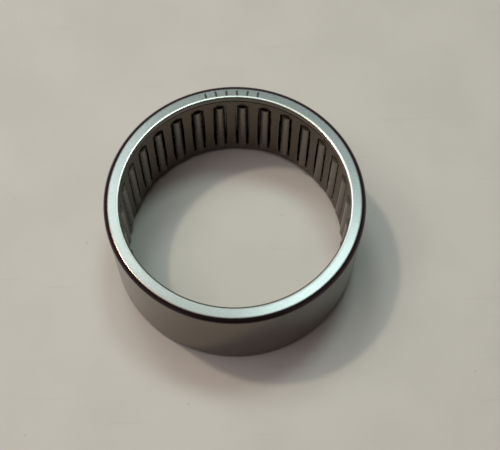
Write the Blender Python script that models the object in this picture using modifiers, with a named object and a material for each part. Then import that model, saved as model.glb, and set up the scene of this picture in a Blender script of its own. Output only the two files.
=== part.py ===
"""Drawn-cup needle roller bearing with open ends: cup, cage and thirty needles.

Metres, +Z up. The bearing stands on its rolled-in end: the origin is on the
bearing's axis, in the plane of that end face, and +Z runs to the flat pressing end.
"""

from math import cos, pi, radians, sin, tau

import bmesh
import bpy
from mathutils import Matrix

MM = 0.001

# Driving dimensions: the nominal sizes of the bearing.
SHAFT_DIAMETER = 50 * MM  # circle inscribed in the needles
CUP_DIAMETER = 58 * MM  # fits the housing bore
CUP_WIDTH = 25 * MM
NEEDLE_DIAMETER = 2.5 * MM
NEEDLE_LENGTH = 17.8 * MM
NEEDLE_COUNT = 30

# Drawn cup.
WALL = (CUP_DIAMETER - SHAFT_DIAMETER) / 2 - NEEDLE_DIAMETER
PRESSING_BORE_RADIUS = 25.55 * MM  # bore of the lip that the press tool bears on
PRESSING_LIP = 1.4 * MM  # its thickness
PRESSING_EDGE = 0.45 * MM  # rounding of its bore edge
PRESSING_CORNER = 1.2 * MM  # outer corner, measured across the face
PRESSING_CORNER_HEIGHT = 0.9 * MM  # and down the wall
ROLLED_BORE_RADIUS = 25.9 * MM  # bore of the thinner lip, rolled in once the cage is inside
ROLLED_LIP = 1.1 * MM
ROLLED_EDGE = 1 * MM  # this lip's tip is rounded over most of its thickness
ROLLED_CORNER = 1.5 * MM
RACEWAY_CORNER = 0.35 * MM  # fillets between raceway and lips

# Cage: a band of sheet steel with one window for each needle.
CAGE_BORE_RADIUS = 25.6 * MM
CAGE_SHEET = 0.7 * MM
CAGE_END_PLAY = 0.25 * MM  # to each lip
CAGE_EDGE = 0.1 * MM  # chamfer on the rims
POCKET_WIDTH = 3.28 * MM
POCKET_END_PLAY = 0.1 * MM
EAR_LENGTH = 3.2 * MM  # slightly narrowed ends of a window
EAR_OPENING = 3 * MM  # width between them at the cage's bore
EAR_DEPTH = 0.3 * MM  # the ears taper out over this much of the sheet
CUTTER_REACH = 0.6 * MM  # how far a window's cutter stands out of the sheet on both sides
CUTTER_OVERLAP = 0.1 * MM  # how far the two cutters of one window run into each other

# Needles.
RUNNING_GAP = 0.03 * MM  # needle to raceway
NEEDLE_EDGE = 0.3 * MM

# Facets.
TURNED_STEPS = 120
NEEDLE_SIDES = 20
CORNER_STEPS = 4
SMALL_CORNER_STEPS = 2
MERGE = 0.00001
SHARP_ANGLE = radians(30)

# Sizes that follow from the ones above.
RACEWAY_RADIUS = CUP_DIAMETER / 2 - WALL
PITCH_RADIUS = RACEWAY_RADIUS - NEEDLE_DIAMETER / 2 - RUNNING_GAP
MIDDLE_Z = (ROLLED_LIP + CUP_WIDTH - PRESSING_LIP) / 2
CAGE_WIDTH = CUP_WIDTH - PRESSING_LIP - ROLLED_LIP - 2 * CAGE_END_PLAY
POCKET_LENGTH = NEEDLE_LENGTH + 2 * POCKET_END_PLAY
PITCH_ANGLE = tau / NEEDLE_COUNT

COLLECTION_NAME = "needle_roller_bearing"
CUTTERS_NAME = "cage_cutters"


def clear_scene():
    """Removes the objects of the startup scene."""
    for obj in list(bpy.data.objects):
        bpy.data.objects.remove(obj)


def new_collection(name, parent):
    collection = bpy.data.collections.new(name)
    parent.children.link(collection)
    return collection


def steel(name, colour, roughness):
    """A bare steel, which differs from the others in colour and polish only."""
    material = bpy.data.materials.new(name)
    material.use_nodes = True
    shader = material.node_tree.nodes["Principled BSDF"]
    shader.inputs["Base Color"].default_value = (*colour, 1)
    shader.inputs["Metallic"].default_value = 1
    shader.inputs["Roughness"].default_value = roughness
    return material


def arc(centre, radius, start, end, steps, height=None):
    """Points of an arc in the (radius, height) plane, angles in degrees from outwards, up.

    A height makes it a quarter of an ellipse: radius across, height up.
    """
    points = []
    for step in range(steps + 1):
        angle = radians(start + (end - start) * step / steps)
        points.append((centre[0] + radius * cos(angle), centre[1] + (height or radius) * sin(angle)))
    return points


def turned(name, profile, material, collection):
    """A ring turned about Z from a closed (radius, height) profile, which runs down its outer side."""
    mesh = bpy.data.meshes.new(name)
    count = len(profile)
    edges = [(i, (i + 1) % count) for i in range(count)]
    mesh.from_pydata([(radius, 0, height) for radius, height in profile], edges, [])
    mesh.materials.append(material)
    obj = bpy.data.objects.new(name, mesh)
    collection.objects.link(obj)
    screw = obj.modifiers.new("Turning", "SCREW")
    screw.axis = "Z"
    screw.angle = tau
    screw.screw_offset = 0
    screw.steps = TURNED_STEPS
    screw.render_steps = TURNED_STEPS
    screw.use_smooth_shade = True
    screw.use_merge_vertices = True
    screw.merge_threshold = MERGE
    return obj


def cup_profile():
    """Section of the cup: wall, two lips turned inwards, rounded outer corners."""
    outer = CUP_DIAMETER / 2
    points = arc(
        (outer - PRESSING_CORNER, CUP_WIDTH - PRESSING_CORNER_HEIGHT),
        PRESSING_CORNER, 90, 0, CORNER_STEPS, PRESSING_CORNER_HEIGHT,
    )
    points += arc((outer - ROLLED_CORNER, ROLLED_CORNER), ROLLED_CORNER, 0, -90, CORNER_STEPS)
    # the rolled lip: its rounded tip, then back out along its inner face to the raceway
    points += arc((ROLLED_BORE_RADIUS + ROLLED_EDGE, ROLLED_EDGE), ROLLED_EDGE, -90, -180, CORNER_STEPS)
    points.append((ROLLED_BORE_RADIUS, ROLLED_LIP))
    points += arc(
        (RACEWAY_RADIUS - RACEWAY_CORNER, ROLLED_LIP + RACEWAY_CORNER),
        RACEWAY_CORNER, -90, 0, SMALL_CORNER_STEPS,
    )
    # the pressing lip, from the raceway inwards and round its bore edge
    under_lip = CUP_WIDTH - PRESSING_LIP
    points += arc(
        (RACEWAY_RADIUS - RACEWAY_CORNER, under_lip - RACEWAY_CORNER),
        RACEWAY_CORNER, 0, 90, SMALL_CORNER_STEPS,
    )
    points.append((PRESSING_BORE_RADIUS, under_lip))
    points += arc(
        (PRESSING_BORE_RADIUS + PRESSING_EDGE, CUP_WIDTH - PRESSING_EDGE),
        PRESSING_EDGE, 180, 90, SMALL_CORNER_STEPS,
    )
    return points


def cage_profile():
    """Section of the cage's band before its windows are cut: a strip with chamfered rims."""
    inner = CAGE_BORE_RADIUS
    outer = inner + CAGE_SHEET
    bottom = MIDDLE_Z - CAGE_WIDTH / 2
    top = MIDDLE_Z + CAGE_WIDTH / 2
    return [
        (outer - CAGE_EDGE, top),
        (outer, top - CAGE_EDGE),
        (outer, bottom + CAGE_EDGE),
        (outer - CAGE_EDGE, bottom),
        (inner + CAGE_EDGE, bottom),
        (inner, bottom + CAGE_EDGE),
        (inner, top - CAGE_EDGE),
        (inner + CAGE_EDGE, top),
    ]


def round_the_axis(index):
    """Matrix that carries a shape on +X to needle station number index."""
    return Matrix.Rotation(index * PITCH_ANGLE, 4, "Z")


def prism_mesh(name, outline, length):
    """A closed (x, y) outline extruded along Z, as a mesh centred on its origin in height."""
    curve = bpy.data.curves.new(name, "CURVE")
    curve.dimensions = "2D"
    curve.fill_mode = "BOTH"
    curve.extrude = length / 2
    spline = curve.splines.new("POLY")
    spline.points.add(len(outline) - 1)
    for point, (x, y) in zip(spline.points, outline):
        point.co = (x, y, 0, 1)
    spline.use_cyclic_u = True
    guide = bpy.data.objects.new(name, curve)
    bpy.context.scene.collection.objects.link(guide)
    bpy.context.view_layer.update()
    evaluated = guide.evaluated_get(bpy.context.evaluated_depsgraph_get())
    mesh = bpy.data.meshes.new_from_object(evaluated)
    bpy.data.objects.remove(guide)
    shape = bmesh.new()
    shape.from_mesh(mesh)
    bmesh.ops.remove_doubles(shape, verts=shape.verts, dist=MERGE)
    bmesh.ops.recalc_face_normals(shape, faces=shape.faces)
    shape.to_mesh(mesh)
    shape.free()
    return mesh


def window_mesh():
    """Cutter for a whole window: straight sides outside, tapering in to the ears at the bore."""
    taper = (POCKET_WIDTH - EAR_OPENING) / 2 / EAR_DEPTH
    inside = CAGE_BORE_RADIUS - CUTTER_REACH
    shoulder = CAGE_BORE_RADIUS + EAR_DEPTH
    outside = CAGE_BORE_RADIUS + CAGE_SHEET + CUTTER_REACH
    narrow = EAR_OPENING / 2 - taper * CUTTER_REACH
    wide = POCKET_WIDTH / 2
    outline = [
        (inside, -narrow),
        (shoulder, -wide),
        (outside, -wide),
        (outside, wide),
        (shoulder, wide),
        (inside, narrow),
    ]
    return prism_mesh("window", outline, POCKET_LENGTH)


def relief_mesh():
    """Cutter that opens the middle of a window to its full width, between the ears."""
    inside = CAGE_BORE_RADIUS - CUTTER_REACH
    outside = CAGE_BORE_RADIUS + EAR_DEPTH + CUTTER_OVERLAP
    wide = POCKET_WIDTH / 2
    outline = [(inside, -wide), (outside, -wide), (outside, wide), (inside, wide)]
    return prism_mesh("window_relief", outline, POCKET_LENGTH - 2 * EAR_LENGTH)


def cutter_set(name, mesh, parent):
    """One cutter for each window, in a collection of their own."""
    collection = new_collection(name, parent)
    for index in range(NEEDLE_COUNT):
        cutter = bpy.data.objects.new(f"{name}_{index + 1:02d}", mesh)
        cutter.matrix_world = round_the_axis(index) @ Matrix.Translation((0, 0, MIDDLE_Z))
        cutter.hide_render = True
        cutter.display_type = "WIRE"
        collection.objects.link(cutter)
    return collection


def build_cup(collection):
    return turned("drawn_cup", cup_profile(), steel("cup_steel", (0.52, 0.53, 0.51), 0.32), collection)


def build_cage(collection, cutters):
    """The band, with its windows cut by two sets of cutters."""
    cage = turned("cage", cage_profile(), steel("cage_steel", (0.33, 0.31, 0.28), 0.45), collection)
    for name, mesh in (("window", window_mesh()), ("window_relief", relief_mesh())):
        cut = cage.modifiers.new(name, "BOOLEAN")
        cut.operation = "DIFFERENCE"
        cut.solver = "EXACT"
        cut.operand_type = "COLLECTION"
        cut.collection = cutter_set(name, mesh, cutters)
    return cage


def needle_mesh():
    """A needle about its own axis: a cylinder from Blender's primitive."""
    bpy.ops.mesh.primitive_cylinder_add(
        vertices=NEEDLE_SIDES, radius=NEEDLE_DIAMETER / 2, depth=NEEDLE_LENGTH
    )
    template = bpy.context.active_object
    mesh = template.data
    bpy.data.objects.remove(template)
    mesh.name = "needle"
    mesh.shade_smooth()
    mesh.set_sharp_from_angle(angle=SHARP_ANGLE)
    mesh.materials.append(steel("needle_steel", (0.42, 0.40, 0.37), 0.22))
    return mesh


def build_needles(collection, cage_axis):
    """The needles, each with its origin on the axis that it rolls about."""
    mesh = needle_mesh()
    for index in range(NEEDLE_COUNT):
        needle = bpy.data.objects.new(f"needle_roller_{index + 1:02d}", mesh)
        collection.objects.link(needle)
        needle.parent = cage_axis
        needle.location = (
            PITCH_RADIUS * cos(index * PITCH_ANGLE),
            PITCH_RADIUS * sin(index * PITCH_ANGLE),
            MIDDLE_Z,
        )
        needle.rotation_euler.z = index * PITCH_ANGLE + pi / NEEDLE_SIDES
        bevel = needle.modifiers.new("Rounded ends", "BEVEL")
        bevel.width = NEEDLE_EDGE
        bevel.segments = 1
        bevel.limit_method = "ANGLE"
        bevel.angle_limit = SHARP_ANGLE


def main():
    clear_scene()
    scene_root = bpy.context.scene.collection
    bearing = new_collection(COLLECTION_NAME, scene_root)
    cutters = new_collection(CUTTERS_NAME, scene_root)

    build_cup(bearing)
    cage_axis = bpy.data.objects.new("cage_axis", None)
    bearing.objects.link(cage_axis)
    build_cage(bearing, cutters).parent = cage_axis
    build_needles(bearing, cage_axis)


main()
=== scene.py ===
from math import asin, cos, pi, radians, sin, sqrt, tau

import bmesh
import bpy
from mathutils import Matrix, Vector


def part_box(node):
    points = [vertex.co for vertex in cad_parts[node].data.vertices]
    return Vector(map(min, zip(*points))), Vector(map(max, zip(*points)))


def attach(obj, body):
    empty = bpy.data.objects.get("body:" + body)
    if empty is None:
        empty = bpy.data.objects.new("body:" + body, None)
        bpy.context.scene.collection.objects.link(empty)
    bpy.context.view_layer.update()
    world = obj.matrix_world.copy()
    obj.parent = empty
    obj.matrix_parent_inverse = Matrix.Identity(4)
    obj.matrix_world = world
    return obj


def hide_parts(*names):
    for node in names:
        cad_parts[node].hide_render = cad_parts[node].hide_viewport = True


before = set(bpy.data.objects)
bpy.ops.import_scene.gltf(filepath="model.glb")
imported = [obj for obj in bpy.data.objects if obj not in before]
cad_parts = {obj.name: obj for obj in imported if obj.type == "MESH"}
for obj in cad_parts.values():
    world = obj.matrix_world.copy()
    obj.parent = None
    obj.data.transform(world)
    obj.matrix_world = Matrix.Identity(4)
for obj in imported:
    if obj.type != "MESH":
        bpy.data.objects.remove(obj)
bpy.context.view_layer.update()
print("frame loaded:", len(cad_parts), "nodes")

mm = 0.001
mergeDistance = 0.0005 * mm
sharpAngle = radians(32)

# the bearing's own sizes, read from the frame
cupLow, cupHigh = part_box("drawn_cup")
cageLow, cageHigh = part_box("cage")
needleLow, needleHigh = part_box("needle_roller_01")  # this one stands on +X
needleNodes = sorted(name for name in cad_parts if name.startswith("needle_roller"))
needleRadius = (needleHigh.y - needleLow.y) / 2
pitchRadius = (needleHigh.x + needleLow.x) / 2
stationAngle = tau / len(needleNodes)


def srgb(code):
    # hex colour as the eye sees it, turned to linear light
    channels = [int(code[i:i + 2], 16) / 255 for i in (1, 3, 5)]
    return (*[c / 12.92 if c <= 0.04045 else ((c + 0.055) / 1.055) ** 2.4 for c in channels], 1.0)


def addNode(tree, kind, inputs=None, **settings):
    # a socket in inputs is linked, anything else becomes the socket's own value
    node = tree.nodes.new(kind)
    for name, value in settings.items():
        setattr(node, name, value)
    for socket, value in (inputs or {}).items():
        if isinstance(value, bpy.types.NodeSocket):
            tree.links.new(value, node.inputs[socket])
        else:
            node.inputs[socket].default_value = value
    return node


def newTree(name, sockets):
    tree = bpy.data.node_groups.new(name, "GeometryNodeTree")
    tree.interface.new_socket("Geometry", in_out="OUTPUT", socket_type="NodeSocketGeometry")
    for label, kind in sockets.items():
        tree.interface.new_socket(label, in_out="INPUT", socket_type="NodeSocket" + kind)
    return tree, tree.nodes.new("NodeGroupInput").outputs


def nodesResult(host, steps):
    # runs one or more trees on host and gives back a plain mesh, with no modifier left
    for tree, values in steps:
        modifier = host.modifiers.new(tree.name, "NODES")
        modifier.node_group = tree
        for item in tree.interface.items_tree:
            if item.in_out == "INPUT" and item.name in values:
                modifier[item.identifier] = values[item.name]
    bpy.context.view_layer.update()
    graph = bpy.context.evaluated_depsgraph_get()
    mesh = bpy.data.meshes.new_from_object(host.evaluated_get(graph))
    host.modifiers.clear()
    return mesh


def hostObject(name, points, edges=(), faces=()):
    mesh = bpy.data.meshes.new(name)
    mesh.from_pydata(points, edges, faces)
    host = bpy.data.objects.new(name, mesh)
    bpy.context.scene.collection.objects.link(host)
    return host


def turnedOut(mesh):
    # normals of a closed shell, made to point outwards once its seams are merged
    shell = bmesh.new()
    shell.from_mesh(mesh)
    bmesh.ops.remove_doubles(shell, verts=shell.verts, dist=mergeDistance)
    bmesh.ops.recalc_face_normals(shell, faces=shell.faces)
    shell.to_mesh(mesh)
    shell.free()
    mesh.shade_smooth()
    mesh.set_sharp_from_angle(angle=sharpAngle)
    return mesh


def addPiece(name, mesh, body, node):
    piece = bpy.data.objects.new(name, mesh)
    bpy.context.scene.collection.objects.link(piece)
    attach(piece, body)
    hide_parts(node)


def faceStart():
    # radius at which the flat pressing face begins
    return cup["pressingBore"] + cup["pressingEdge"][0]


def arcPoints(centre, radius, start, end, steps, height=None):
    # a height other than the radius makes a quarter of an ellipse
    angles = [radians(start + (end - start) * i / steps) for i in range(steps + 1)]
    return [(centre[0] + radius * cos(a), centre[1] + (height or radius) * sin(a)) for a in angles]


def heldFlat(points, margin, closed=True):
    # adds a point near both ends of every long straight stretch, so that smooth shading stays
    # within the rounded corners
    result = []
    count = len(points)
    for i in range(count if closed else count - 1):
        start, end = Vector(points[i]), Vector(points[(i + 1) % count])
        result.append(points[i])
        length = (end - start).length
        if length > 4 * margin:
            result.append(tuple(start.lerp(end, margin / length)))
            result.append(tuple(start.lerp(end, 1 - margin / length)))
    return result if closed else result + [points[-1]]


def turnedTree():
    # an outline in the XY plane (radius, -height) swept round an axis, then set at its station
    tree, source = newTree("turnedPiece", {
        "Outline": "Geometry", "Segments": "Int", "Path Radius": "Float", "Pitch Radius": "Float",
        "Station": "Float", "Merge Distance": "Float", "Material": "Material",
    })
    section = addNode(tree, "GeometryNodeMeshToCurve", {"Mesh": source["Outline"]})
    path = addNode(tree, "GeometryNodeCurvePrimitiveCircle",
                   {"Resolution": source["Segments"], "Radius": source["Path Radius"]})
    swept = addNode(tree, "GeometryNodeCurveToMesh",
                    {"Curve": path.outputs["Curve"], "Profile Curve": section.outputs["Curve"]})
    merged = addNode(tree, "GeometryNodeMergeByDistance",
                     {"Geometry": swept.outputs["Mesh"], "Distance": source["Merge Distance"]})
    offset = addNode(tree, "ShaderNodeCombineXYZ", {"X": source["Pitch Radius"]})
    placed = addNode(tree, "GeometryNodeTransform",
                     {"Geometry": merged.outputs["Geometry"], "Translation": offset.outputs["Vector"]})
    turn = addNode(tree, "ShaderNodeCombineXYZ", {"Z": source["Station"]})
    turned = addNode(tree, "GeometryNodeTransform",
                     {"Geometry": placed.outputs["Geometry"], "Rotation": turn.outputs["Vector"]})
    real = addNode(tree, "GeometryNodeRealizeInstances", {"Geometry": turned.outputs["Geometry"]})
    painted = addNode(tree, "GeometryNodeSetMaterial",
                      {"Geometry": real.outputs["Geometry"], "Material": source["Material"]})
    addNode(tree, "NodeGroupOutput", {"Geometry": painted.outputs["Geometry"]})
    return tree


def roundTheAxisTree():
    # one sector, repeated round Z and joined to its neighbours
    tree, source = newTree("roundTheAxis", {
        "Sector": "Geometry", "Count": "Int", "Merge Distance": "Float", "Material": "Material",
    })
    stations = addNode(tree, "GeometryNodePoints", {"Count": source["Count"]})
    index = addNode(tree, "GeometryNodeInputIndex")
    step = addNode(tree, "ShaderNodeMath", {0: tau, 1: source["Count"]}, operation="DIVIDE")
    angle = addNode(tree, "ShaderNodeMath", {0: index.outputs["Index"], 1: step.outputs["Value"]},
                    operation="MULTIPLY")
    turn = addNode(tree, "ShaderNodeCombineXYZ", {"Z": angle.outputs["Value"]})
    ring = addNode(tree, "GeometryNodeInstanceOnPoints", {
        "Points": stations.outputs["Points"], "Instance": source["Sector"],
        "Rotation": turn.outputs["Vector"],
    })
    real = addNode(tree, "GeometryNodeRealizeInstances", {"Geometry": ring.outputs["Instances"]})
    merged = addNode(tree, "GeometryNodeMergeByDistance",
                     {"Geometry": real.outputs["Geometry"], "Distance": source["Merge Distance"]})
    painted = addNode(tree, "GeometryNodeSetMaterial",
                      {"Geometry": merged.outputs["Geometry"], "Material": source["Material"]})
    addNode(tree, "NodeGroupOutput", {"Geometry": painted.outputs["Geometry"]})
    return tree


def etchedRowTree():
    # a row of short rounded bars sunk into a face of the piece, along an arc
    tree, source = newTree("etchedRow", {
        "Piece": "Geometry", "Count": "Int", "Pitch Angle": "Float", "Middle Angle": "Float",
        "Radius": "Float", "Length": "Float", "Width": "Float", "Depth": "Float",
        "Face Height": "Float", "Material": "Material",
    })
    outline = addNode(tree, "GeometryNodeCurvePrimitiveQuadrilateral",
                      {"Width": source["Length"], "Height": source["Width"]})
    rounding = addNode(tree, "ShaderNodeMath", {0: source["Width"], 1: 0.49}, operation="MULTIPLY")
    rounded = addNode(tree, "GeometryNodeFilletCurve",
                      {"Curve": outline.outputs["Curve"], "Radius": rounding.outputs["Value"], "Count": 5},
                      mode="POLY")
    floorHeight = addNode(tree, "ShaderNodeMath", {0: source["Face Height"], 1: source["Depth"]},
                          operation="SUBTRACT")
    topHeight = addNode(tree, "ShaderNodeMath", {0: source["Face Height"], 1: source["Depth"]},
                        operation="ADD")
    low = addNode(tree, "ShaderNodeCombineXYZ",
                  {"X": source["Radius"], "Z": floorHeight.outputs["Value"]})
    high = addNode(tree, "ShaderNodeCombineXYZ",
                   {"X": source["Radius"], "Z": topHeight.outputs["Value"]})
    path = addNode(tree, "GeometryNodeCurvePrimitiveLine",
                   {"Start": low.outputs["Vector"], "End": high.outputs["Vector"]})
    bar = addNode(tree, "GeometryNodeCurveToMesh", {
        "Curve": path.outputs["Curve"], "Profile Curve": rounded.outputs["Curve"], "Fill Caps": True,
    })
    stations = addNode(tree, "GeometryNodePoints", {"Count": source["Count"]})
    index = addNode(tree, "GeometryNodeInputIndex")
    last = addNode(tree, "ShaderNodeMath", {0: source["Count"], 1: 1.0}, operation="SUBTRACT")
    half = addNode(tree, "ShaderNodeMath", {0: last.outputs["Value"], 1: 2.0}, operation="DIVIDE")
    place = addNode(tree, "ShaderNodeMath", {0: index.outputs["Index"], 1: half.outputs["Value"]},
                    operation="SUBTRACT")
    angle = addNode(tree, "ShaderNodeMath", {
        0: place.outputs["Value"], 1: source["Pitch Angle"], 2: source["Middle Angle"],
    }, operation="MULTIPLY_ADD")
    turn = addNode(tree, "ShaderNodeCombineXYZ", {"Z": angle.outputs["Value"]})
    row = addNode(tree, "GeometryNodeInstanceOnPoints", {
        "Points": stations.outputs["Points"], "Instance": bar.outputs["Mesh"],
        "Rotation": turn.outputs["Vector"],
    })
    real = addNode(tree, "GeometryNodeRealizeInstances", {"Geometry": row.outputs["Instances"]})
    painted = addNode(tree, "GeometryNodeSetMaterial",
                      {"Geometry": real.outputs["Geometry"], "Material": source["Material"]})
    cut = addNode(tree, "GeometryNodeMeshBoolean",
                  {"Mesh 1": source["Piece"], "Mesh 2": painted.outputs["Geometry"]},
                  operation="DIFFERENCE", solver="EXACT")
    addNode(tree, "NodeGroupOutput", {"Geometry": cut.outputs["Mesh"]})
    return tree


def newMaterial(name):
    material = bpy.data.materials.new(name)
    material.use_nodes = True
    tree = material.node_tree
    shader = tree.nodes["Principled BSDF"]
    place = addNode(tree, "ShaderNodeTexCoord").outputs["Object"]
    return material, tree, shader, place


def zone(tree, *edges, strength=1.0):
    # strength inside the zone and 0 outside it; each edge is (value, start, end) and fades in from
    # start to end, either of which may be the larger
    share = strength
    for value, start, end in edges:
        side = addNode(tree, "ShaderNodeMapRange", {
            "Value": value, "From Min": min(start, end), "From Max": max(start, end),
            "To Min": float(start > end), "To Max": float(start < end),
        }, interpolation_type="SMOOTHSTEP").outputs["Result"]
        share = addNode(tree, "ShaderNodeMath", {0: side, 1: share}, operation="MULTIPLY").outputs["Value"]
    return share


def layered(tree, base, *layers):
    # each layer is (share, colour or value), laid over the ones before it
    isColour = isinstance(base, tuple) or getattr(base, "type", "") == "RGBA"
    first, second, result = (6, 7, 2) if isColour else (2, 3, 0)
    for share, layer in layers:
        base = addNode(tree, "ShaderNodeMix", {"Factor": share, first: base, second: layer},
                       data_type="RGBA" if isColour else "FLOAT").outputs[result]
    return base


def grained(tree, place, size, detail, roughness, *swings):
    # noise with grains of this size, and one more output for each (low, high) that swings with it
    grain = addNode(tree, "ShaderNodeTexNoise", {
        "Vector": place, "Scale": 1 / size, "Detail": detail, "Roughness": roughness,
    }).outputs["Fac"]
    return [grain] + [addNode(tree, "ShaderNodeMapRange", {
        "Value": grain, "From Min": 0.3, "From Max": 0.7, "To Min": low, "To Max": high,
    }).outputs["Result"] for low, high in swings]


cup = {
    "wall": 1.5 * mm,
    "pressingBore": 25.55 * mm,
    "pressingLip": 1.4 * mm,
    "pressingCorner": (1.25 * mm, 0.9 * mm),  # across the face and down the wall
    "pressingEdge": (0.7 * mm, 0.21 * mm),  # across the face and down the bore
    "rolledBore": 25.9 * mm,
    "rolledLip": 1.1 * mm,
    "rolledEdge": 1.0 * mm,
    "rolledCorner": 1.5 * mm,
    "innerEdge": 0.1 * mm,
    "racewayCorner": 0.35 * mm,
    "segments": 360,
    "cornerSteps": 12,
    "smallSteps": 6,
    "holdingMargin": 0.04 * mm,
    "look": {
        "face": ("#8a8685", "#807d7c"),
        "side": ("#6f665c", "#686056"),
        # painted dark reflection on the outer corner, darker on its lower half
        "upperPaintedReflection": "#63555a",
        "lowerPaintedReflection": "#3f3636",
        "bore": "#4f4841",
        # painted highlight on the lip's bore edge: a lighter base
        "boreEdgeHighlight": "#aca59e",
        "grainSize": 0.45 * mm,  # coarser than the real one, so that it shows
        "grainDepth": 0.01 * mm,
        "grainTone": (0.74, 1.18),
        "cloudSize": 6 * mm,
        "oilRoughness": 0.17,
        "faceRoughness": (0.3, 0.5),
        "sideRoughness": (0.16, 0.22),
        "cornerRoughness": 0.22,
        "edgeRoughness": 0.3,
        # where each zone fades in: across from a radius, or above a height
        "cornerAcross": (0.15 * mm, 0.4 * mm),  # from the end of the flat face
        "cornerAbove": (-0.2 * mm, -0.1 * mm),  # from the top of the wall
        "wallAcross": (0.0, 0.3 * mm),
        "wallAbove": (-0.05 * mm, -0.15 * mm),
        "lowerAbove": (0.55 * mm, 0.35 * mm),
        "edgeAcross": (-0.12 * mm, -0.28 * mm),  # from the start of the flat face
        "edgeAbove": (-0.16 * mm, -0.1 * mm),  # from the flat face
        "boreAcross": (0.16 * mm, 0.08 * mm),
    },
}

etchedMarks = {
    "count": 6,
    "pitchAngle": radians(5.2),
    "middleAngle": radians(89.3),
    "radius": 26.9 * mm,
    "length": 1.4 * mm,
    "width": 0.5 * mm,
    "depth": 0.01 * mm,
    "grainSize": 0.08 * mm,
    "tones": ("#43423f", "#55534f"),
}


def cupOutline():
    outer, top = cupHigh.x, cupHigh.z
    raceway, fillet = outer - cup["wall"], cup["racewayCorner"]
    under, floor = top - cup["pressingLip"], cup["rolledLip"]
    across, down = cup["pressingCorner"]
    rolled, tip, bore, edge = cup["rolledCorner"], cup["rolledEdge"], cup["pressingBore"], cup["pressingEdge"]
    inner, big, small = cup["innerEdge"], cup["cornerSteps"], cup["smallSteps"]
    points = arcPoints((outer - across, top - down), across, 90, 0, big, down)
    points += arcPoints((outer - rolled, rolled), rolled, 0, -90, big)
    points += arcPoints((cup["rolledBore"] + tip, tip), tip, -90, -180, big)
    points += arcPoints((cup["rolledBore"] + inner, floor - inner), inner, 180, 90, small)
    points += arcPoints((raceway - fillet, floor + fillet), fillet, -90, 0, small)
    points += arcPoints((raceway - fillet, under - fillet), fillet, 0, 90, small)
    points += arcPoints((bore + inner, under + inner), inner, -90, -180, small)
    points += arcPoints((bore + edge[0], top - edge[1]), edge[0], 180, 90, big, edge[1])
    return heldFlat(points, cup["holdingMargin"])


def outlineHost(name, points, pathRadius, closed):
    # the sweep lays X of the outline along the radius and Y against the height
    count = len(points)
    edges = [(i, (i + 1) % count) for i in range(count if closed else count - 1)]
    return hostObject(name, [(r - pathRadius, -z, 0) for r, z in points], edges)


def cupSteel():
    # low-carbon strip, drawn, case-hardened and tumbled: a satin skin, finely mottled by the stones,
    # under a film of oil that adds a tighter glow; the outer corner is painted brown-black as a dark
    # reflection, darker on its lower half, and the lip's bore edge is lighter as a painted highlight
    material, tree, shader, place = newMaterial("tumbledHardenedStrip")
    look = cup["look"]
    shader.inputs["Metallic"].default_value = 1.0
    shader.inputs["Coat Roughness"].default_value = look["oilRoughness"]
    axes = addNode(tree, "ShaderNodeSeparateXYZ", {"Vector": place}).outputs
    flatPlace = addNode(tree, "ShaderNodeCombineXYZ", {"X": axes["X"], "Y": axes["Y"]}).outputs["Vector"]
    reach = addNode(tree, "ShaderNodeVectorMath", {0: flatPlace}, operation="LENGTH").outputs["Value"]
    faceEnd = cupHigh.x - cup["pressingCorner"][0]
    wallTop = cupHigh.z - cup["pressingCorner"][1]

    def across(name, start):
        # a zone's edge, measured outwards from the radius start
        return reach, start + look[name][0], start + look[name][1]

    def above(name, start):
        # a zone's edge, measured upwards from the height start
        return axes["Z"], start + look[name][0], start + look[name][1]

    cornerEdges = across("cornerAcross", faceEnd), above("cornerAbove", wallTop)
    corner = zone(tree, *cornerEdges)
    wall = zone(tree, across("wallAcross", faceEnd), above("wallAbove", wallTop))
    boreEdgeHighlight = zone(tree, across("edgeAcross", faceStart()), above("edgeAbove", cupHigh.z))
    bore = zone(tree, across("boreAcross", cup["pressingBore"]))
    # the ground wall is wiped dry, and so is the lower half of the corner next to it
    lower = zone(tree, *cornerEdges, above("lowerAbove", wallTop))
    dry = addNode(tree, "ShaderNodeMath", {0: wall, 1: lower}, operation="MAXIMUM").outputs["Value"]
    film = addNode(tree, "ShaderNodeMath", {0: 1.0, 1: dry}, operation="SUBTRACT").outputs["Value"]
    tree.links.new(film, shader.inputs["Coat Weight"])
    grain, grainTone, faceRoughness, sideRoughness = grained(
        tree, place, look["grainSize"], 4.0, 0.7,
        look["grainTone"], look["faceRoughness"], look["sideRoughness"],
    )
    cloud = addNode(tree, "ShaderNodeTexNoise", {
        "Vector": place, "Scale": 1 / look["cloudSize"], "Detail": 3.0, "Roughness": 0.5,
    }).outputs["Fac"]
    face = layered(tree, srgb(look["face"][0]), (cloud, srgb(look["face"][1])))
    side = layered(tree, srgb(look["side"][0]), (cloud, srgb(look["side"][1])))
    mottled = addNode(tree, "ShaderNodeMix", {
        "Factor": 1.0, 6: layered(tree, face, (wall, side)), 7: grainTone,
    }, data_type="RGBA", blend_type="MULTIPLY").outputs[2]
    # painted dark reflection on the outer corner, darker still on its lower half
    paintedCornerReflection = layered(tree, srgb(look["upperPaintedReflection"]), (lower, srgb(look["lowerPaintedReflection"])))
    # the lip's bore edge is lightened as a painted highlight
    tone = layered(tree, mottled, (corner, paintedCornerReflection), (bore, srgb(look["bore"])),
                   (boreEdgeHighlight, srgb(look["boreEdgeHighlight"])))
    tree.links.new(tone, shader.inputs["Base Color"])
    roughness = layered(tree, faceRoughness, (wall, sideRoughness),
                        (corner, look["cornerRoughness"]), (boreEdgeHighlight, look["edgeRoughness"]))
    tree.links.new(roughness, shader.inputs["Roughness"])
    bump = addNode(tree, "ShaderNodeBump", {
        "Height": grain, "Strength": 0.25, "Distance": look["grainDepth"],
    })
    tree.links.new(bump.outputs["Normal"], shader.inputs["Normal"])
    return material


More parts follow.
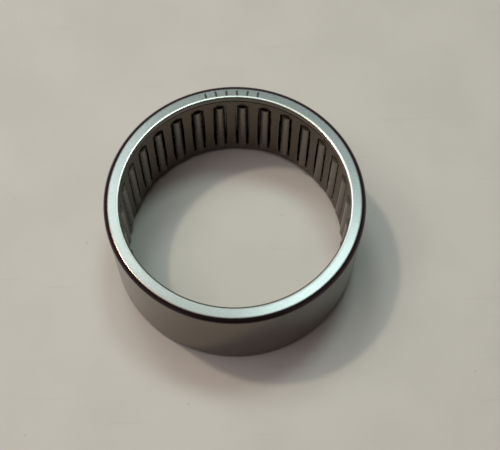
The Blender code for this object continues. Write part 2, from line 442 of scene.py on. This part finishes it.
def etchedOxide():
    # steel darkened by an etching laser: matt, dark grey, with no glint
    material, tree, shader, place = newMaterial("laserEtchedOxide")
    shader.inputs["Metallic"].default_value = 0.3
    shader.inputs["Roughness"].default_value = 0.75
    grain = addNode(tree, "ShaderNodeTexNoise", {
        "Vector": place, "Scale": 1 / etchedMarks["grainSize"], "Detail": 2.0,
    }).outputs["Fac"]
    dark, light = etchedMarks["tones"]
    tree.links.new(layered(tree, srgb(dark), (grain, srgb(light))), shader.inputs["Base Color"])
    return material


def makeCup(turned, etched):
    host = outlineHost("cupOutline", cupOutline(), cup["pressingBore"], True)
    mesh = nodesResult(host, [
        (turned, {
            "Segments": cup["segments"], "Path Radius": cup["pressingBore"], "Pitch Radius": 0.0,
            "Station": 0.0, "Merge Distance": mergeDistance, "Material": cupSteel(),
        }),
    ])
    bpy.data.objects.remove(host)
    # the shell has to face outwards before anything is cut from it
    shell = bpy.data.objects.new("cupShell", turnedOut(mesh))
    bpy.context.scene.collection.objects.link(shell)
    mesh = nodesResult(shell, [
        (etched, {
            "Count": etchedMarks["count"], "Pitch Angle": etchedMarks["pitchAngle"],
            "Middle Angle": etchedMarks["middleAngle"], "Radius": etchedMarks["radius"],
            "Length": etchedMarks["length"], "Width": etchedMarks["width"],
            "Depth": etchedMarks["depth"], "Face Height": cupHigh.z, "Material": etchedOxide(),
        }),
    ])
    bpy.data.objects.remove(shell)
    mesh.shade_smooth()
    mesh.set_sharp_from_angle(angle=sharpAngle)
    addPiece("drawnCup", mesh, "cup", "drawn_cup")
    print("cup made:", len(mesh.polygons), "faces")


cage = {
    "sheet": 0.7 * mm,
    "windowLength": 17.9 * mm,
    "windowWidth": 3.28 * mm,
    "windowCorner": 0.3 * mm,
    "earLength": 3.2 * mm,
    "earOpening": 3.0 * mm,
    "earDepth": 0.3 * mm,
    "earEnd": 0.48 * mm,  # from here out the window's sides are straight
    "earSlope": 0.5 * mm,
    "pressedEdge": 0.07 * mm,
    "rimEdge": 0.12 * mm,
    "longSteps": (3, 5, 8, 5, 3),
    "shortSteps": 8,
    "cornerSteps": 4,
    "webRings": 4,
    "edgeSteps": 3,
    "tones": ("#776d62", "#5f554c"),
    "grainSize": 0.5 * mm,
    "roughness": (0.36, 0.5),
}


def smoothStep(t):
    t = min(max(t, 0.0), 1.0)
    return t * t * (3 - 2 * t)


def windowSide(z, narrow):
    # half the window's width at height z from its middle: narrower at the ears, near both ends
    wide, ear = cage["windowWidth"] / 2, cage["earOpening"] / 2
    start = cage["windowLength"] / 2 - cage["earLength"]
    share = smoothStep((abs(z) - start + cage["earSlope"] / 2) / cage["earSlope"])
    return wide - (wide - ear) * share * narrow


def sideHeights():
    # heights of the points up one long side of the window, closer together where the ears begin
    reach = cage["windowLength"] / 2 - cage["windowCorner"]
    ear = cage["windowLength"] / 2 - cage["earLength"]
    slope = cage["earSlope"] * 0.7
    stops = [-reach, -ear - slope, -ear + slope, ear - slope, ear + slope, reach]
    heights = []
    for low, high, steps in zip(stops, stops[1:], cage["longSteps"]):
        heights += [low + (high - low) * i / steps for i in range(steps)]
    return heights + [reach]


def windowLoop(narrow, grow):
    # the window's edge as (across, height) points, counter-clockwise from the lower right corner
    corner = cage["windowCorner"]
    end = cage["windowLength"] / 2
    heights = sideHeights()
    right = [(windowSide(z, narrow) + grow, z) for z in heights]
    endSide = windowSide(end, narrow)
    across = [-1 + 2 * i / cage["shortSteps"] for i in range(cage["shortSteps"] + 1)]
    top = [(-x * (endSide - corner), end + grow) for x in across]
    turn = arcPoints((endSide - corner, end - corner), corner + grow, 0, 90, cage["cornerSteps"])[1:-1]
    upperRight = right + turn + top
    lowerLeft = [(-x, -z) for x, z in upperRight]
    upperLeftTurn = [(-x, z) for x, z in reversed(turn)]
    lowerRightTurn = [(-x, -z) for x, z in upperLeftTurn]
    return upperRight + upperLeftTurn + lowerLeft + lowerRightTurn


def sectorLoop(halfAngle, halfHeight):
    # the sector's border as (angle, height) points, one for each point of windowLoop
    heights = sideHeights()
    reach = heights[-1]
    half = cage["cornerSteps"] // 2
    cornerShare = [i / half for i in range(1, half)]
    topShare = 0.72  # how far towards the sector's corners the window's short side is spread
    sideShare = 0.97  # and its long side towards the rims
    right = [(halfAngle, z / reach * halfHeight * sideShare) for z in heights]
    rise = [(halfAngle, halfHeight * (sideShare + (1 - sideShare) * s)) for s in cornerShare]
    corner = [(halfAngle, halfHeight)]
    run = [(halfAngle * (1 - (1 - topShare) * s), halfHeight) for s in cornerShare]
    across = [-1 + 2 * i / cage["shortSteps"] for i in range(cage["shortSteps"] + 1)]
    top = [(-x * halfAngle * topShare, halfHeight) for x in across]
    turn = rise + corner + run
    upperRight = right + turn + top
    lowerLeft = [(-a, -z) for a, z in upperRight]
    upperLeftTurn = [(-a, z) for a, z in reversed(turn)]
    lowerRightTurn = [(-a, -z) for a, z in upperLeftTurn]
    return upperRight + upperLeftTurn + lowerLeft + lowerRightTurn


def cageSector():
    # one window with the web round it: rings of faces from the window's edge to the sector's border,
    # on the inside and the outside of the sheet, joined by the window's walls and by the two rims
    inner, outer = cageHigh.x - cage["sheet"], cageHigh.x
    middle = (cageLow.z + cageHigh.z) / 2
    edge, rim = cage["pressedEdge"], cage["rimEdge"]
    halfHeight = (cageHigh.z - cageLow.z) / 2 - rim
    border = sectorLoop(stationAngle / 2, halfHeight)
    shape = bmesh.new()

    def loopVerts(radius, points):
        return [shape.verts.new((radius * cos(a), radius * sin(a), middle + z)) for a, z in points]

    def onSheet(radius, narrow, grow):
        return [(asin(x / radius), z) for x, z in windowLoop(narrow, grow)]

    def strip(first, second, closed=True):
        count = len(first)
        for i in range(count if closed else count - 1):
            j = (i + 1) % count
            shape.faces.new((first[i], first[j], second[j], second[i]))

    def roundedLevels(start, size):
        # (share of the way in, radius) steps over a quarter round
        steps = cage["edgeSteps"]
        turns = [pi / 2 * i / steps for i in range(steps + 1)]
        return [(size * (1 - sin(t)), start + size * (1 - cos(t))) for t in turns]

    walls = []
    for grow, radius in roundedLevels(inner, edge):
        walls.append(loopVerts(radius, onSheet(radius, 1.0, grow)))
    for narrow, depth in ((1.0, cage["earDepth"]), (0.0, cage["earEnd"])):
        walls.append(loopVerts(inner + depth, onSheet(inner + depth, narrow, 0.0)))
    outerLevels = [(grow, outer - (radius - inner)) for grow, radius in roundedLevels(inner, edge)]
    for grow, radius in reversed(outerLevels):
        walls.append(loopVerts(radius, onSheet(radius, 0.0, grow)))

    def sheetRings(radius, narrow, nearest):
        # rings from the window's edge out to the border, all of them on the sheet's surface
        window = onSheet(radius, narrow, edge)
        rings = [nearest]
        for ring in range(1, cage["webRings"] + 1):
            share = ring / cage["webRings"]
            points = [(a + (c - a) * share, z + (d - z) * share)
                      for (a, z), (c, d) in zip(window, border)]
            rings.append(loopVerts(radius, points))
        return rings

    innerRings = sheetRings(inner, 1.0, walls[0])
    outerRings = sheetRings(outer, 0.0, walls[-1])
    for first, second in zip(walls, walls[1:]):
        strip(first, second)
    for first, second in zip(innerRings, innerRings[1:]):
        strip(first, second)
    for first, second in zip(outerRings, outerRings[1:]):
        strip(second, first)

    for side in (1, -1):
        chosen = [i for i, (a, z) in enumerate(border) if abs(z - side * halfHeight) < mergeDistance]
        # indices run on through the end of the loop, so they are put in order of angle
        chosen.sort(key=lambda i: border[i][0])
        levels = [[innerRings[-1][i] for i in chosen]]
        steps = [(rim - grow, radius) for grow, radius in roundedLevels(inner, rim)][1:]
        steps += [(rise, outer - (radius - inner)) for rise, radius in reversed(steps)]
        for rise, radius in steps:
            points = [(border[i][0], side * (halfHeight + rise)) for i in chosen]
            levels.append(loopVerts(radius, points))
        levels.append([outerRings[-1][i] for i in chosen])
        for first, second in zip(levels, levels[1:]):
            strip(first, second, closed=False)

    mesh = bpy.data.meshes.new("cageSector")
    shape.to_mesh(mesh)
    shape.free()
    host = bpy.data.objects.new("cageSector", mesh)
    bpy.context.scene.collection.objects.link(host)
    return host


def cageSteel():
    # pressed strip left dark by heat treatment and wet with oil: dull brown-grey with soft, wide glints
    material, tree, shader, place = newMaterial("oiledPressedStrip")
    shader.inputs["Metallic"].default_value = 1.0
    grain, roughness = grained(tree, place, cage["grainSize"], 3.0, 0.6, cage["roughness"])
    light, dark = cage["tones"]
    tree.links.new(layered(tree, srgb(light), (grain, srgb(dark))), shader.inputs["Base Color"])
    tree.links.new(roughness, shader.inputs["Roughness"])
    return material


def makeCage(repeated):
    host = cageSector()
    mesh = nodesResult(host, [
        (repeated, {
            "Count": len(needleNodes), "Merge Distance": mergeDistance, "Material": cageSteel(),
        }),
    ])
    bpy.data.objects.remove(host)
    addPiece("sheetCage", turnedOut(mesh), "cage", "cage")
    print("cage made:", len(mesh.polygons), "faces")


needle = {
    "endRounding": 0.1 * mm,
    "segments": 48,
    "roundingSteps": 5,
    "pathRadius": 0.6 * mm,
    "holdingMargin": 0.04 * mm,
    "tones": ("#807972", "#6c655e"),
    "roughness": (0.2, 0.32),
    "ringSize": 0.2 * mm,
    "ringStretch": 0.15,
    # painted shade darkening the needle's ends
    "endShadeTone": "#5a544d",
    "endRoughness": 0.5,
    # here the ends' finish means their roughness and their painted shade
    "endFade": 0.04 * mm,  # the ends' finish is full from here on
}


def needleOutline():
    low, high, rounding = needleLow.z, needleHigh.z, needle["endRounding"]
    shoulder = needleRadius - rounding
    points = [(0, high)]
    points += arcPoints((shoulder, high - rounding), rounding, 90, 0, needle["roundingSteps"])
    points += arcPoints((shoulder, low + rounding), rounding, 0, -90, needle["roundingSteps"])
    points.append((0, low))
    return heldFlat(points, needle["holdingMargin"], closed=False)


def needleSteel():
    # through-hardened bearing steel, ground and lapped: smooth, with hair-fine rings round the needle;
    # the ends are rougher, with painted shade darkening them
    material, tree, shader, place = newMaterial("lappedBearingSteel")
    shader.inputs["Metallic"].default_value = 1.0
    stretched = addNode(tree, "ShaderNodeMapping", {
        "Vector": place, "Scale": (needle["ringStretch"], needle["ringStretch"], 1.0),
    }).outputs["Vector"]
    rings, ringRoughness = grained(tree, stretched, needle["ringSize"], 3.0, 0.6, needle["roughness"])
    height = addNode(tree, "ShaderNodeSeparateXYZ", {"Vector": place}).outputs["Z"]
    fromMiddle = addNode(tree, "ShaderNodeMath", {0: height, 1: (needleLow.z + needleHigh.z) / 2},
                         operation="SUBTRACT").outputs["Value"]
    distance = addNode(tree, "ShaderNodeMath", {0: fromMiddle}, operation="ABSOLUTE").outputs["Value"]
    halfLength = (needleHigh.z - needleLow.z) / 2
    roughShadedEnds = zone(tree, (distance, halfLength - needle["endRounding"], halfLength - needle["endFade"]))
    light, dark = needle["tones"]
    # the ends get painted shade: a darker tone
    tone = layered(tree, srgb(light), (rings, srgb(dark)), (roughShadedEnds, srgb(needle["endShadeTone"])))
    tree.links.new(tone, shader.inputs["Base Color"])
    roughness = layered(tree, ringRoughness, (roughShadedEnds, needle["endRoughness"]))
    tree.links.new(roughness, shader.inputs["Roughness"])
    return material


def makeNeedles(turned):
    host = outlineHost("needleOutline", needleOutline(), needle["pathRadius"], False)
    steel = needleSteel()
    for index, node in enumerate(needleNodes):
        mesh = nodesResult(host, [
            (turned, {
                "Segments": needle["segments"], "Path Radius": needle["pathRadius"],
                "Pitch Radius": pitchRadius, "Station": index * stationAngle,
                "Merge Distance": mergeDistance, "Material": steel,
            }),
        ])
        number = node[-2:]
        addPiece("needleRoller_" + number, turnedOut(mesh), "needle_" + number, node)
    bpy.data.objects.remove(host)
    print("needles made:", len(needleNodes))


floorFinish = {
    "size": 6.0,
    "tones": ("#cac7bf", "#c5c2ba"),
    "cloudSize": 25 * mm,
    "speck": "#8f877c",
    "speckStrength": 0.35,
    "cellSize": 6 * mm,
    "scuff": "#a09a8f",
    "scuffStrength": 0.1,
    "scuffSize": 1.5 * mm,
    "scuffStretch": 0.05,
    "scuffAngle": radians(68),
    "roughness": 0.55,
}

studio = {
    "lightDistance": 1.0,
    "horizon": "#79656a",
    "zenith": "#3c3834",
    "front": "#2e2224",
    "backdrop": "#cfcbc2",
    "riseHeights": (0.15, 0.75),  # where the horizon's tone gives way to the zenith's
    "frontReach": (-0.7, -0.88),  # the same for the darker front
}

# direction towards the light, its angular radius, its power in watts at the lights' distance, and
# whether it is seen in reflections
lights = [
    {"name": "windowCore", "direction": (-0.354, 0.222, 0.909), "radius": 0.03, "power": 2.05,
     "colour": "#ffedd4", "mirrored": True},
    {"name": "windowGlow", "direction": (-0.302, 0.081, 0.95), "radius": 0.47, "power": 4.9,
     "colour": "#fff3f6", "mirrored": False},
    {"name": "backLampRight", "direction": (0.13, 0.305, 0.943), "radius": 0.1, "power": 1.75,
     "colour": "#defdfa", "mirrored": True},
    {"name": "backLampLeft", "direction": (-0.155, 0.41, 0.899), "radius": 0.1, "power": 1.06,
     "colour": "#defdfa", "mirrored": True},
]

camera = {
    "place": Vector((-1.89, -94.22, 218.65)) * mm,
    "heading": radians(3.13),  # from +Y towards +X
    "dip": radians(65.65),
    "roll": radians(0.57),
    "lens": 70.4,
    "sensorWidth": 36,
    "shift": (0.0012, -0.0009),
    "clip": (0.01, 20),
}


def paleLaminate():
    # matt laminate: pale warm grey with a slight cloud, a few fine specks and hairline scuffs
    material, tree, shader, place = newMaterial("paleLaminate")
    shader.inputs["Roughness"].default_value = floorFinish["roughness"]
    cloud = addNode(tree, "ShaderNodeTexNoise", {
        "Vector": place, "Scale": 1 / floorFinish["cloudSize"], "Detail": 5.0,
    }).outputs["Fac"]
    cells = addNode(tree, "ShaderNodeTexVoronoi", {"Vector": place, "Scale": 1 / floorFinish["cellSize"]})
    pick = addNode(tree, "ShaderNodeSeparateColor", {"Color": cells.outputs["Color"]}).outputs["Red"]
    # only some cells hold a speck
    speck = zone(tree, (cells.outputs["Distance"], 0.055, 0.03), (pick, 0.7, 0.75),
                 strength=floorFinish["speckStrength"])
    # scuffs run one way: long, thin stretches of noise
    stretched = addNode(tree, "ShaderNodeMapping", {
        "Vector": place, "Rotation": (0.0, 0.0, floorFinish["scuffAngle"]),
        "Scale": (floorFinish["scuffStretch"], 1.0, 1.0),
    }).outputs["Vector"]
    hairs = addNode(tree, "ShaderNodeTexNoise", {
        "Vector": stretched, "Scale": 1 / floorFinish["scuffSize"], "Detail": 1.0,
    }).outputs["Fac"]
    scuff = zone(tree, (hairs, 0.68, 0.76), strength=floorFinish["scuffStrength"])
    light, dark = floorFinish["tones"]
    tone = layered(tree, srgb(light), (zone(tree, (cloud, 0.35, 0.65)), srgb(dark)),
                   (speck, srgb(floorFinish["speck"])), (scuff, srgb(floorFinish["scuff"])))
    tree.links.new(tone, shader.inputs["Base Color"])
    return material


def makeFloor():
    half = floorFinish["size"] / 2
    floor = hostObject("floor", [(-half, -half, 0), (half, -half, 0), (half, half, 0), (-half, half, 0)],
                       faces=[(0, 1, 2, 3)])
    floor.data.materials.append(paleLaminate())


def makeLights():
    for light in lights:
        data = bpy.data.lights.new(light["name"], "AREA")
        data.shape = "DISK"
        data.size = 2 * light["radius"] * studio["lightDistance"]
        data.energy = light["power"]
        data.color = srgb(light["colour"])[:3]
        lamp = bpy.data.objects.new(light["name"], data)
        direction = Vector(light["direction"]).normalized()
        lamp.location = direction * studio["lightDistance"]
        lamp.rotation_euler = direction.to_track_quat("Z", "Y").to_euler()
        lamp.visible_glossy = light["mirrored"]
        bpy.context.scene.collection.objects.link(lamp)


def makeSky():
    # a dim room for reflections, and a pale backdrop where the camera looks past the floor
    world = bpy.data.worlds.new("softStudio")
    world.use_nodes = True
    bpy.context.scene.world = world
    tree = world.node_tree
    direction = addNode(tree, "ShaderNodeTexCoord").outputs["Generated"]
    axes = addNode(tree, "ShaderNodeSeparateXYZ", {"Vector": direction}).outputs
    rise = zone(tree, (axes["Z"], *studio["riseHeights"]))
    # darker where whoever works at the table stands
    front = zone(tree, (axes["Y"], *studio["frontReach"]))
    seen = addNode(tree, "ShaderNodeLightPath").outputs["Is Camera Ray"]
    room = layered(tree, srgb(studio["horizon"]), (rise, srgb(studio["zenith"])),
                   (front, srgb(studio["front"])), (seen, srgb(studio["backdrop"])))
    tree.links.new(room, tree.nodes["Background"].inputs["Color"])


def makeCamera():
    data = bpy.data.cameras.new("camera")
    data.lens = camera["lens"]
    data.sensor_width = camera["sensorWidth"]
    data.shift_x, data.shift_y = camera["shift"]
    data.clip_start, data.clip_end = camera["clip"]
    eye = bpy.data.objects.new("camera", data)
    eye.matrix_world = (
        Matrix.Translation(camera["place"])
        @ Matrix.Rotation(-camera["heading"], 4, "Z")
        @ Matrix.Rotation(pi / 2 - camera["dip"], 4, "X")
        @ Matrix.Rotation(camera["roll"], 4, "Z")
    )
    bpy.context.scene.collection.objects.link(eye)
    bpy.context.scene.camera = eye


turnedPiece = turnedTree()
makeCup(turnedPiece, etchedRowTree())
makeCage(roundTheAxisTree())
makeNeedles(turnedPiece)
makeFloor()
makeLights()
makeSky()
makeCamera()
bpy.context.scene.view_settings.view_transform = "Standard"
print("floor, lights and camera made")
